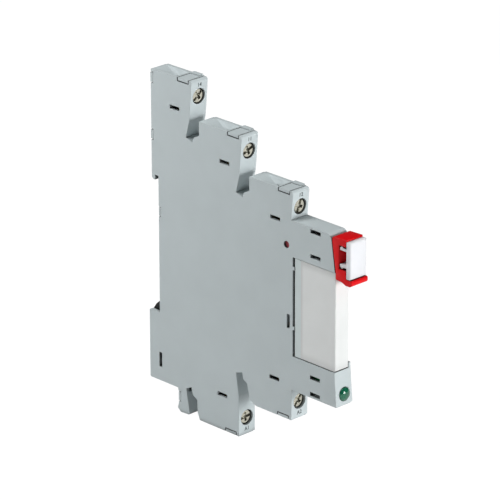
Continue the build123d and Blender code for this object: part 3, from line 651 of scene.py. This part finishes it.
def number_mesh(context, name, high):
    """A terminal's number as a flat mesh round zero."""
    text = bpy.data.curves.new("number_" + name, "FONT")
    text.body = name.upper()
    text.size = high * FONT_SHARE
    text.align_x, text.align_y = "CENTER", "CENTER"
    text.resolution_u = FONT_STEPS
    text.offset = NUMBER_BOLD
    maker = linked("number_maker", text)
    context.view_layer.update()
    mesh = bpy.data.meshes.new_from_object(maker.evaluated_get(context.evaluated_depsgraph_get()))
    bpy.data.objects.remove(maker)
    mesh.materials.clear()
    return mesh


# Settings

class RelayColours(bpy.types.PropertyGroup):
    housing: bpy.props.FloatVectorProperty(
        name="Housing", description="Colour of the shell and the cover",
        subtype="COLOR", size=4, min=0, max=1, default=linear("#C4CED0"))
    relay_case: bpy.props.FloatVectorProperty(
        name="Relay case", description="Colour of the plug-in relay's case",
        subtype="COLOR", size=4, min=0, max=1, default=linear("#E6E9E8"))
    relay_base: bpy.props.FloatVectorProperty(
        name="Relay base", description="Colour of the plug-in relay's base and its inner mouldings",
        subtype="COLOR", size=4, min=0, max=1, default=linear("#D4DFDF"))
    lever: bpy.props.FloatVectorProperty(
        name="Lever", description="Colour of the ejector lever",
        subtype="COLOR", size=4, min=0, max=1, default=linear("#E00611"))
    tag: bpy.props.FloatVectorProperty(
        name="Tag", description="Colour of the marking tag",
        subtype="COLOR", size=4, min=0, max=1, default=linear("#E9EBEF"))
    clip: bpy.props.FloatVectorProperty(
        name="Rail clip", description="Colour of the rail clip",
        subtype="COLOR", size=4, min=0, max=1, default=linear("#0D0E0F"))
    plug: bpy.props.FloatVectorProperty(
        name="Round plug", description="Colour of the round plug in the side",
        subtype="COLOR", size=4, min=0, max=1, default=linear("#AC3F48"))
    lens: bpy.props.FloatVectorProperty(
        name="Lens", description="Colour of the lamp's lens",
        subtype="COLOR", size=4, min=0, max=1, default=linear("#117C5A"))
    numbers: bpy.props.FloatVectorProperty(
        name="Numbers", description="Colour of the printed terminal numbers",
        subtype="COLOR", size=4, min=0, max=1, default=linear("#4C5657"))
    floor: bpy.props.FloatVectorProperty(
        name="Floor", description="Colour of the studio floor",
        subtype="COLOR", size=4, min=0, max=1, default=linear("#FFFFFF"))


class RelaySizes(bpy.types.PropertyGroup):
    ease: bpy.props.FloatProperty(
        name="Edge", description="Roundness of the moulded edges of the small parts",
        subtype="DISTANCE", unit="LENGTH", default=0.15 * MM, min=0)
    screw_slot: bpy.props.FloatProperty(
        name="Screw slot", description="Width of the slot and cross in the terminal screws",
        subtype="DISTANCE", unit="LENGTH", default=0.8 * MM, min=0)
    screw_pitch: bpy.props.FloatProperty(
        name="Screw pitch", description="Distance between the threads of the terminal screws",
        subtype="DISTANCE", unit="LENGTH", default=0.45 * MM, min=0)
    number_high: bpy.props.FloatProperty(
        name="Number height", description="Height of the terminal numbers",
        subtype="DISTANCE", unit="LENGTH", default=1.1 * MM, min=0)


class RelayStudio(bpy.types.PropertyGroup):
    world_light: bpy.props.FloatProperty(
        name="World light", description="Strength of the light from all round", default=0.08, min=0)
    front_lamp: bpy.props.FloatProperty(
        name="Front lamp", description="Power of the lamp in front of the terminals",
        subtype="POWER", unit="POWER", default=4.8, min=0)
    top_lamp: bpy.props.FloatProperty(
        name="Top lamp", description="Power of the lamp above the towers",
        subtype="POWER", unit="POWER", default=2.45, min=0)
    side_lamp: bpy.props.FloatProperty(
        name="Side lamp", description="Power of the lamp beside the top of the near side",
        subtype="POWER", unit="POWER", default=0.43, min=0)


# Steps

class RELAY_OT_camera(bpy.types.Operator):
    """Sets the camera where the photograph was taken from"""
    bl_idname = "relay.camera"
    bl_label = "Camera"

    def execute(self, context):
        azimuth, elevation, roll = (
            math.radians(v) for v in (CAMERA_AZIMUTH, CAMERA_ELEVATION, CAMERA_ROLL))
        back = Vector((math.sin(azimuth) * math.cos(elevation), -math.cos(azimuth) * math.cos(elevation),
                       math.sin(elevation)))
        level = Vector((math.cos(azimuth), math.sin(azimuth), 0))
        above = back.cross(level)
        right = math.cos(roll) * level + math.sin(roll) * above
        up = math.cos(roll) * above - math.sin(roll) * level
        place = Vector(CAMERA_TARGET) + back * CAMERA_BACK + right * CAMERA_RIGHT + up * CAMERA_UP
        data = bpy.data.cameras.new("photo_camera")
        data.lens = CAMERA_LENS
        data.clip_start, data.clip_end = CAMERA_CLIP
        camera = linked("photo_camera", data)
        pose = Matrix((right, up, back)).transposed().to_4x4()
        camera.matrix_world = Matrix.Translation(place * MM) @ pose
        context.scene.camera = camera
        return {"FINISHED"}


class RELAY_OT_housing(bpy.types.Operator):
    """Finishes the shell, the cover, the rail clip with its spring and the round plug"""
    bl_idname = "relay.housing"
    bl_label = "Housing"

    def execute(self, context):
        colours = context.scene.relay_colours
        grey = polyamide_housing(colours.housing)
        paint_node("housing_shell", grey)
        paint_node("housing_cover", grey)
        low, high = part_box("rail_clip_spring")
        shape = spring_shape((high.x - low.x) / 2, high.z - low.z)
        move(shape, (low.x + high.x) / 2, (low.y + high.y) / 2, low.z)
        spring = piece_from(shape, "rail_clip_spring_wound", "housing", spring_wire())
        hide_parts("rail_clip_spring")
        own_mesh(spring)
        ease = context.scene.relay_sizes.ease
        eased_copy("rail_clip", "clip", acetal_clip(colours.clip), ease)
        low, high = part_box("marking_plug")
        middle = (low + high) / 2
        shape = dome_shape(PLUG_R, PLUG_LONG, -PLUG_DISH, (high.x - low.x) / 2, PLUG_FLANGE)
        turn(shape, math.pi / 2, "X")
        move(shape, middle.x, high.y, middle.z)
        red = polypropylene_plug(colours.plug)
        plug = piece_from(shape, "marking_plug_turned", "housing", red)
        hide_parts("marking_plug")
        return {"FINISHED"}


class RELAY_OT_terminals(bpy.types.Operator):
    """Makes the terminal screws and finishes the clamp cages and busbars"""
    bl_idname = "relay.terminals"
    bl_label = "Terminals"

    def execute(self, context):
        sizes = context.scene.relay_sizes
        nickel = nickel_screw()
        brass = rolled_brass()
        for name in TERMINALS:
            low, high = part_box("terminal_screw_" + name)
            head_r = (high.z - low.z) / 2
            shape = screw_shape(head_r, high.x - low.x, sizes.screw_slot, sizes.screw_pitch)
            turn(shape, math.tau * SCREW_TURNED[name] / HEAD_SIDES, "Z")
            turn(shape, math.pi / 2, "Y")
            move(shape, high.x, 0, (low.z + high.z) / 2)
            screw = piece_from(shape, "screw_" + name, "screw_" + name, nickel)
            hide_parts("terminal_screw_" + name)
            paint_node("clamp_cage_" + name, nickel)
            paint_node("busbar_" + name, brass)
        return {"FINISHED"}


class RELAY_OT_relay(bpy.types.Operator):
    """Finishes the plug-in relay with its case, base, contacts and coil"""
    bl_idname = "relay.plug_in_relay"
    bl_label = "Plug-in relay"

    def execute(self, context):
        colours = context.scene.relay_colours
        pale = polyester_base(colours.relay_base)
        brass = rolled_brass()
        iron = annealed_iron()
        paint_node("relay_case", polycarbonate_case(colours.relay_case))
        for node in ("relay_base", "coil_bobbin", "pusher_card"):
            paint_node(node, pale)
        for node in ("relay_coil_pins", "relay_common_pin", "contact_blade", "normally_open_contact",
                     "normally_closed_contact"):
            paint_node(node, brass)
        for node in ("coil_core", "coil_yoke", "relay_armature"):
            paint_node(node, iron)
        paint_node("coil_winding", enamelled_winding())
        return {"FINISHED"}


class RELAY_OT_lever(bpy.types.Operator):
    """Makes the ejector lever and its marking tag"""
    bl_idname = "relay.lever"
    bl_label = "Lever and tag"

    def execute(self, context):
        ease = context.scene.relay_sizes.ease
        colours = context.scene.relay_colours
        eased_copy("eject_lever", "lever", abs_lever(colours.lever), ease)
        eased_copy("marker_tag", "tag", polyamide_tag(colours.tag), ease)
        return {"FINISHED"}


class RELAY_OT_lamp(bpy.types.Operator):
    """Makes the lens and finishes the lamp and its board"""
    bl_idname = "relay.lamp"
    bl_label = "Lamp and board"

    def execute(self, context):
        low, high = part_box("lamp_lens")
        radius = (high.z - low.z) / 2
        wall = high.x - low.x - LENS_DOME
        shape = dome_shape(radius, wall, LENS_DOME, radius, LENS_FLANGE)
        turn(shape, math.pi / 2, "Y")
        move(shape, low.x, (low.y + high.y) / 2, (low.z + high.z) / 2)
        green = polycarbonate_lens(context.scene.relay_colours.lens)
        lens = piece_from(shape, "lens_dome", "housing", green)
        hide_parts("lamp_lens")
        paint_node("led", epoxy_lamp())
        paint_node("circuit_board", laminate_board())
        chips = chip_moulding()
        paint_node("rectifier_diodes", chips)
        paint_node("board_resistors", chips)
        paint_node("board_capacitor", ceramic_chip())
        return {"FINISHED"}


class RELAY_OT_numbers(bpy.types.Operator):
    """Prints the plain terminal numbers on the fronts of the towers"""
    bl_idname = "relay.numbers"
    bl_label = "Terminal numbers"

    def execute(self, context):
        ink = printed_ink(context.scene.relay_colours.numbers)
        across = Vector((0, 1, 0))
        for name in TERMINALS:
            low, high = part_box("terminal_screw_" + name)
            up = 1 if name.isdigit() else -1
            z = (low.z + high.z) / 2 + up * NUMBER_OFF
            hit, spot, normal, _ = NODES["housing_shell"].ray_cast(
                Vector((high.x + RAY_START, 0, z)), Vector((-1, 0, 0)))
            if not hit:
                raise RuntimeError("no tower front for number " + name)
            mesh = number_mesh(context, name, context.scene.relay_sizes.number_high)
            out = normal.normalized()
            pose = Matrix((across, out.cross(across), out)).transposed().to_4x4()
            mesh.transform(Matrix.Translation(spot + out * INK_LIFT) @ pose)
            mesh.materials.append(ink)
            number = linked("number_" + name, mesh)
            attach(number, "housing")
        return {"FINISHED"}


class RELAY_OT_stage(bpy.types.Operator):
    """Makes the pale floor, the world and the soft lamps"""
    bl_idname = "relay.stage"
    bl_label = "Studio"

    def execute(self, context):
        studio = context.scene.relay_studio
        shape = bmesh.new()
        bmesh.ops.create_grid(shape, x_segments=1, y_segments=1, size=FLOOR_HALF)
        move(shape, 0, 0, CAD_LOW.z)
        white = studio_floor(context.scene.relay_colours.floor)
        floor = linked("floor", mesh_from(shape, "floor", white))
        context.scene.world = studio_world(studio.world_light)
        for name, (place, width) in LAMPS.items():
            data = bpy.data.lights.new(name, "AREA")
            data.shape = "DISK"
            data.size = width
            data.energy = getattr(studio, name)
            lamp = linked(name, data)
            lamp.location = place
            aim = Vector(place) - Vector(CAMERA_TARGET) * MM
            lamp.rotation_euler = aim.to_track_quat("Z", "Y").to_euler()
        context.scene.view_settings.view_transform = "Standard"
        return {"FINISHED"}


class RELAY_PT_panel(bpy.types.Panel):
    """Sizes, colours and the steps that make the relay"""
    bl_label = "Interface Relay"
    bl_idname = "RELAY_PT_panel"
    bl_space_type = "VIEW_3D"
    bl_region_type = "UI"
    bl_category = "Interface Relay"

    def draw(self, context):
        for group in (context.scene.relay_sizes, context.scene.relay_colours, context.scene.relay_studio):
            for name in group.bl_rna.properties.keys():
                if name not in ("rna_type", "name"):
                    self.layout.prop(group, name)
        for step in STEPS:
            self.layout.operator(step.bl_idname)


GROUPS = {"relay_colours": RelayColours, "relay_sizes": RelaySizes, "relay_studio": RelayStudio}
STEPS = (
    RELAY_OT_camera, RELAY_OT_housing, RELAY_OT_terminals, RELAY_OT_relay, RELAY_OT_lever, RELAY_OT_lamp,
    RELAY_OT_numbers, RELAY_OT_stage,
)


def register():
    for kind in (*GROUPS.values(), *STEPS, RELAY_PT_panel):
        bpy.utils.register_class(kind)
    for name, kind in GROUPS.items():
        setattr(bpy.types.Scene, name, bpy.props.PointerProperty(type=kind))


def unregister():
    for name in GROUPS:
        delattr(bpy.types.Scene, name)
    for kind in (RELAY_PT_panel, *reversed(STEPS), *GROUPS.values()):
        bpy.utils.unregister_class(kind)


def main():
    register()
    for step in STEPS:
        group, name = step.bl_idname.split(".")
        getattr(getattr(bpy.ops, group), name)()


if __name__ == "__main__":
    main()
